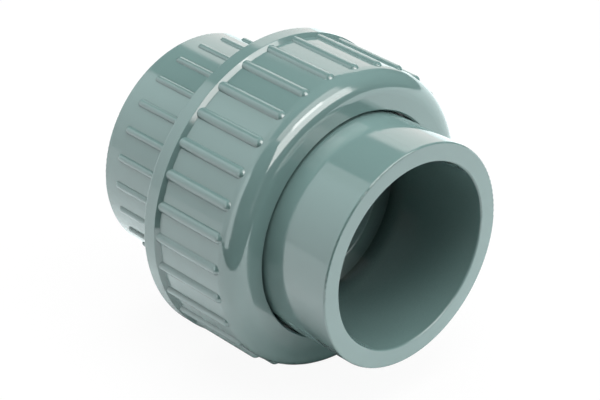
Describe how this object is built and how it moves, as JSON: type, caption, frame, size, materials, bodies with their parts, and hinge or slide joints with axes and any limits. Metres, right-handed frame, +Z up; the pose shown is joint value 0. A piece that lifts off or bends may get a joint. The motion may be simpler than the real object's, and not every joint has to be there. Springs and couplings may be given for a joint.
{
  "type": "pipe union",
  "caption": "Plastic pipe union: a ribbed threaded body and a plain union end with solvent-weld sockets, drawn together by a ribbed nut on an O-ring seal.",
  "frame": {"origin": "on the pipe axis at the threaded body's pipe stop, where the end of the rear pipe bears", "axes": "+X along the pipe axis from the threaded body to the union end, +Z up"},
  "size_m": [0.1035, 0.106, 0.106],
  "materials": {
    "body_plastic": "moulded grey PVC-U, satin gloss",
    "union_end_plastic": "moulded grey PVC-U, satin gloss",
    "nut_plastic": "moulded grey PVC-U, satin gloss",
    "seal_rubber": "black EPDM, matt"
  },
  "bodies": {
    "body": {"threaded_body": "body_plastic", "o_ring_seal": "seal_rubber"},
    "union_end": {"union_end": "union_end_plastic"},
    "nut": {"union_nut": "nut_plastic"}
  },
  "joints": [
    {"name": "end_slide", "type": "slide", "parent": "body", "child": "union_end", "axis": [1, 0, 0], "range_m": [0, 0.018]},
    {"name": "nut_turn", "type": "hinge", "parent": "union_end", "child": "nut", "pos_m": [0.0175, 0, 0], "axis": [1, 0, 0], "range_deg": [0, 1620]}
  ],
  "couplings": [
    {"joint": "end_slide", "follows": "nut_turn", "m_per_rad": 0.00063662}
  ]
}
